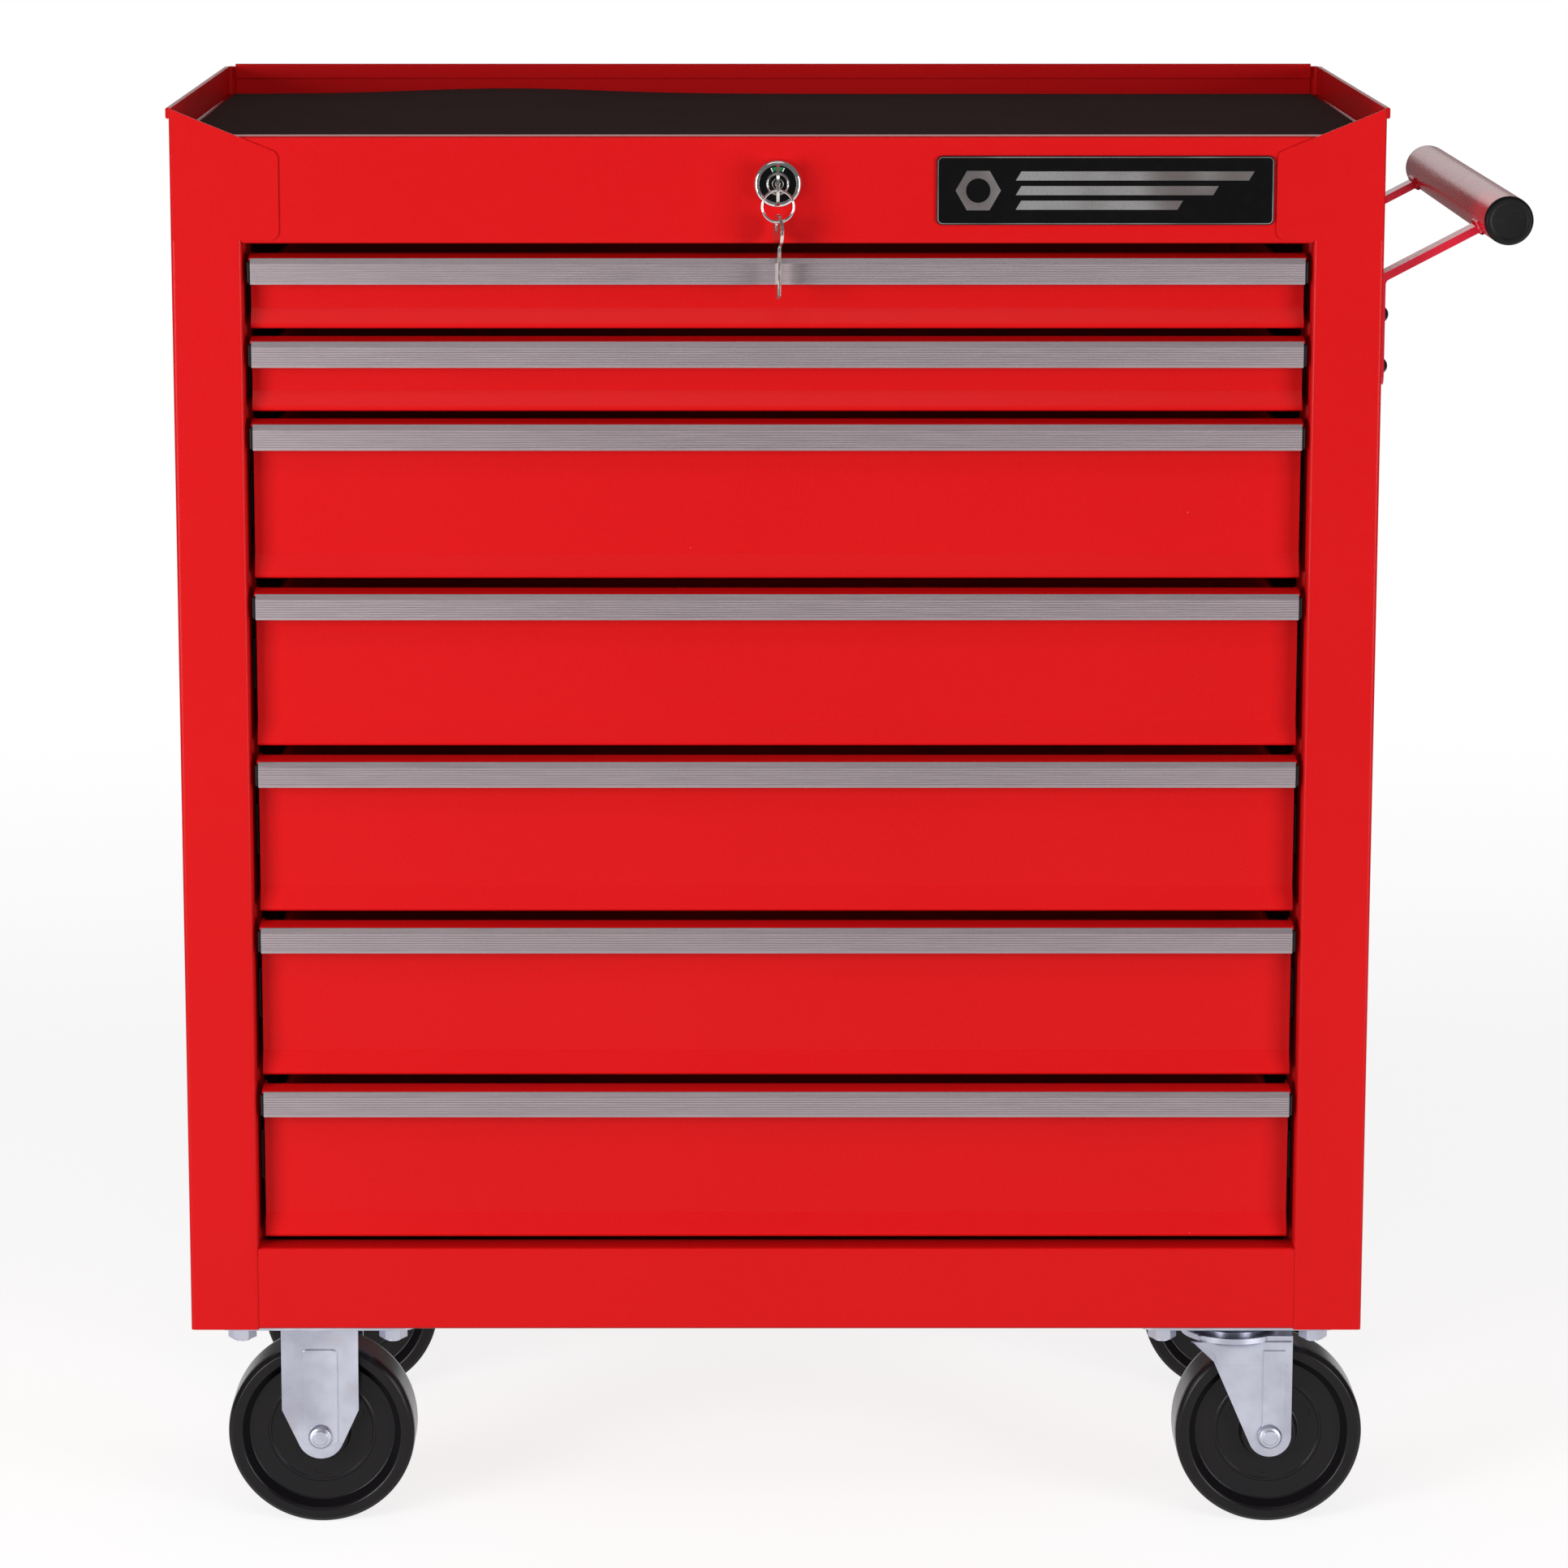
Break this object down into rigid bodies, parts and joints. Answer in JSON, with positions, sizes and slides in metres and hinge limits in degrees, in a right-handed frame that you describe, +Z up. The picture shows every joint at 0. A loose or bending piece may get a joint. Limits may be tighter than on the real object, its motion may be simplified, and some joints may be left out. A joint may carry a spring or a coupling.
{
  "type": "rolling tool chest",
  "caption": "Steel roller cabinet with shallow and deep drawers, full-width aluminium pulls, key lock, top tray with mat, side push handle and casters.",
  "frame": {"origin": "on the floor, under the middle of the whole object's box (handle and keys included)", "axes": "+Z up; the drawers open towards -Y; the push handle is on the +X side"},
  "size_m": [0.6934, 0.3547, 0.7605],
  "materials": {
    "red_paint": "gloss powder coat",
    "aluminium": "brushed, fine grooves",
    "black_plastic": "satin",
    "zinc_steel": "bright zinc plate",
    "chrome": "bright plate",
    "nickel": "nickel plate",
    "mat_rubber": "fine ribbed foam rubber",
    "badge": "gloss black, silver rim",
    "wheel_plastic": "satin"
  },
  "bodies": {
    "cabinet": {"side_panel_left": "red_paint", "side_panel_right": "red_paint", "back_panel": "red_paint", "front_top_rail": "red_paint", "floor_pan": "red_paint", "top_tray": "red_paint", "top_mat": "mat_rubber", "slide_posts": "red_paint", "slide_channels": "zinc_steel", "badge_plate": "badge", "lock_housing": "chrome", "handle_tube": "red_paint", "handle_brackets": "red_paint", "handle_end_caps": "black_plastic", "handle_screws": "zinc_steel", "swivel_caster_plates": "zinc_steel", "caster_bolts": "zinc_steel", "rigid_caster_forks": "zinc_steel", "rigid_axles": "zinc_steel"},
    "drawer_1": {"drawer_1_box": "red_paint", "drawer_1_pull": "aluminium", "drawer_1_pull_caps": "black_plastic", "drawer_1_runners": "zinc_steel"},
    "drawer_2": {"drawer_2_box": "red_paint", "drawer_2_pull": "aluminium", "drawer_2_pull_caps": "black_plastic", "drawer_2_runners": "zinc_steel"},
    "drawer_3": {"drawer_3_box": "red_paint", "drawer_3_pull": "aluminium", "drawer_3_pull_caps": "black_plastic", "drawer_3_runners": "zinc_steel"},
    "drawer_4": {"drawer_4_box": "red_paint", "drawer_4_pull": "aluminium", "drawer_4_pull_caps": "black_plastic", "drawer_4_runners": "zinc_steel"},
    "drawer_5": {"drawer_5_box": "red_paint", "drawer_5_pull": "aluminium", "drawer_5_pull_caps": "black_plastic", "drawer_5_runners": "zinc_steel"},
    "drawer_6": {"drawer_6_box": "red_paint", "drawer_6_pull": "aluminium", "drawer_6_pull_caps": "black_plastic", "drawer_6_runners": "zinc_steel"},
    "drawer_7": {"drawer_7_box": "red_paint", "drawer_7_pull": "aluminium", "drawer_7_pull_caps": "black_plastic", "drawer_7_runners": "zinc_steel"},
    "lock_plug": {"lock_plug": "chrome", "key": "nickel"},
    "key_ring": {"key_ring": "chrome"},
    "spare_key": {"spare_key": "nickel"},
    "lock_bar": {"lock_bar": "zinc_steel"},
    "swivel_front": {"swivel_fork_front": "zinc_steel", "swivel_axle_front": "zinc_steel"},
    "rigid_wheel_front": {"rigid_wheel_front": "wheel_plastic"},
    "swivel_wheel_front": {"swivel_wheel_front": "wheel_plastic"},
    "swivel_rear": {"swivel_fork_rear": "zinc_steel", "swivel_axle_rear": "zinc_steel"},
    "rigid_wheel_rear": {"rigid_wheel_rear": "wheel_plastic"},
    "swivel_wheel_rear": {"swivel_wheel_rear": "wheel_plastic"}
  },
  "joints": [
    {"name": "drawer_1_slide", "type": "slide", "parent": "cabinet", "child": "drawer_1", "axis": [0, -1, 0], "range_m": [0, 0.24]},
    {"name": "drawer_2_slide", "type": "slide", "parent": "cabinet", "child": "drawer_2", "axis": [0, -1, 0], "range_m": [0, 0.24]},
    {"name": "drawer_3_slide", "type": "slide", "parent": "cabinet", "child": "drawer_3", "axis": [0, -1, 0], "range_m": [0, 0.24]},
    {"name": "drawer_4_slide", "type": "slide", "parent": "cabinet", "child": "drawer_4", "axis": [0, -1, 0], "range_m": [0, 0.24]},
    {"name": "drawer_5_slide", "type": "slide", "parent": "cabinet", "child": "drawer_5", "axis": [0, -1, 0], "range_m": [0, 0.24]},
    {"name": "drawer_6_slide", "type": "slide", "parent": "cabinet", "child": "drawer_6", "axis": [0, -1, 0], "range_m": [0, 0.24]},
    {"name": "drawer_7_slide", "type": "slide", "parent": "cabinet", "child": "drawer_7", "axis": [0, -1, 0], "range_m": [0, 0.24]},
    {"name": "lock_turn", "type": "hinge", "parent": "cabinet", "child": "lock_plug", "pos_m": [-0.03685, -0.15193, 0.721], "axis": [0, 1, 0], "range_deg": [0, 90]},
    {"name": "lock_bar_slide", "type": "slide", "parent": "cabinet", "child": "lock_bar", "axis": [0, 0, -1], "range_m": [0, 0.008]},
    {"name": "key_ring_turn", "type": "hinge", "parent": "lock_plug", "child": "key_ring", "pos_m": [-0.03685, -0.16708, 0.71439], "axis": [0, 1, 0], "range_deg": [-90, 0]},
    {"name": "spare_key_swing", "type": "hinge", "parent": "key_ring", "child": "spare_key", "pos_m": [-0.03685, -0.16708, 0.70265], "axis": [-1, 0, 0], "range_deg": [0, 60]},
    {"name": "swivel_front_turn", "type": "hinge", "parent": "cabinet", "child": "swivel_front", "pos_m": [0.20815, -0.10193, 0.1055], "axis": [0, 0, 1], "continuous": true},
    {"name": "swivel_wheel_front_spin", "type": "hinge", "parent": "swivel_front", "child": "swivel_wheel_front", "pos_m": [0.22715, -0.10193, 0.05], "axis": [0, 1, 0], "continuous": true},
    {"name": "rigid_wheel_front_spin", "type": "hinge", "parent": "cabinet", "child": "rigid_wheel_front", "pos_m": [-0.27985, -0.10193, 0.05], "axis": [0, 1, 0], "continuous": true},
    {"name": "swivel_rear_turn", "type": "hinge", "parent": "cabinet", "child": "swivel_rear", "pos_m": [0.20815, 0.12607, 0.1055], "axis": [0, 0, 1], "continuous": true},
    {"name": "swivel_wheel_rear_spin", "type": "hinge", "parent": "swivel_rear", "child": "swivel_wheel_rear", "pos_m": [0.22715, 0.12607, 0.05], "axis": [0, 1, 0], "continuous": true},
    {"name": "rigid_wheel_rear_spin", "type": "hinge", "parent": "cabinet", "child": "rigid_wheel_rear", "pos_m": [-0.27985, 0.12607, 0.05], "axis": [0, 1, 0], "continuous": true}
  ],
  "couplings": [
    {"joint": "lock_turn", "follows": "lock_bar_slide", "rad_per_m": 196.35},
    {"joint": "key_ring_turn", "follows": "lock_bar_slide", "rad_per_m": -196.35}
  ]
}
